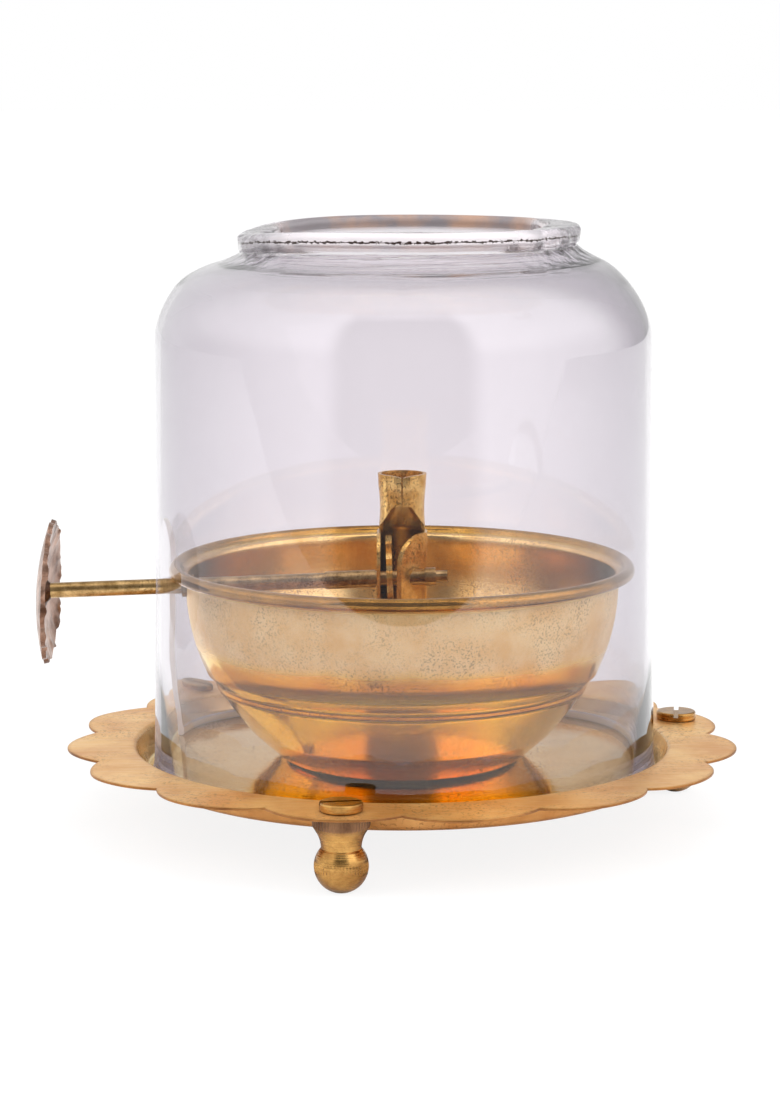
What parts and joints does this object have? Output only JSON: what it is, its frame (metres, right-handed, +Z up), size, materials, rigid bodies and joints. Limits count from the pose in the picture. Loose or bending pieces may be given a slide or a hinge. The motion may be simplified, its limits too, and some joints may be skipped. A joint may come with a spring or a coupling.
{
  "type": "oil lamp with glass chimney",
  "caption": "Brass akhand diya: petal-edged plate on ball feet, oil bowl with a wick tube and a toothed wick wheel turned by a side knob, under a notched glass chimney.",
  "frame": {"origin": "on the lamp's axis, on the plane that the three feet stand on", "axes": "+Z up along the wick tube; the spindle and its knob leave to -X; the front faces -Y"},
  "size_m": [0.1578, 0.1509, 0.1349],
  "materials": {
    "plate_brass": "satin, pinkish tan patina",
    "bowl_brass": "hazy polish with fine pits",
    "turned_brass": "bright, with turning rings",
    "holder_brass": "bright sheet",
    "rod_brass": "drawn, slightly stained",
    "dark_brass": "dark, oil stained",
    "tarnished_brass": "brown tarnish",
    "chimney_glass": "clear"
  },
  "bodies": {
    "lamp": {"base_plate": "plate_brass", "foot_front": "turned_brass", "foot_right": "turned_brass", "foot_left": "turned_brass", "foot_screw_front": "turned_brass", "foot_screw_right": "turned_brass", "foot_screw_left": "turned_brass", "oil_bowl": "bowl_brass", "wick_holder": "holder_brass", "spindle_bush": "dark_brass"},
    "spindle": {"spindle_rod": "rod_brass", "stop_sleeve": "rod_brass", "end_collar": "rod_brass", "wick_wheel": "holder_brass", "knob": "tarnished_brass"},
    "chimney": {"glass_chimney": "chimney_glass"}
  },
  "joints": [
    {"name": "spindle_turn", "type": "hinge", "parent": "lamp", "child": "spindle", "pos_m": [0, -0.00659, 0.05607], "axis": [0.9993, 0, 0.0384], "continuous": true},
    {"name": "chimney_lift", "type": "slide", "parent": "lamp", "child": "chimney", "axis": [0, 0, 1], "range_m": [0, 0.075]}
  ]
}
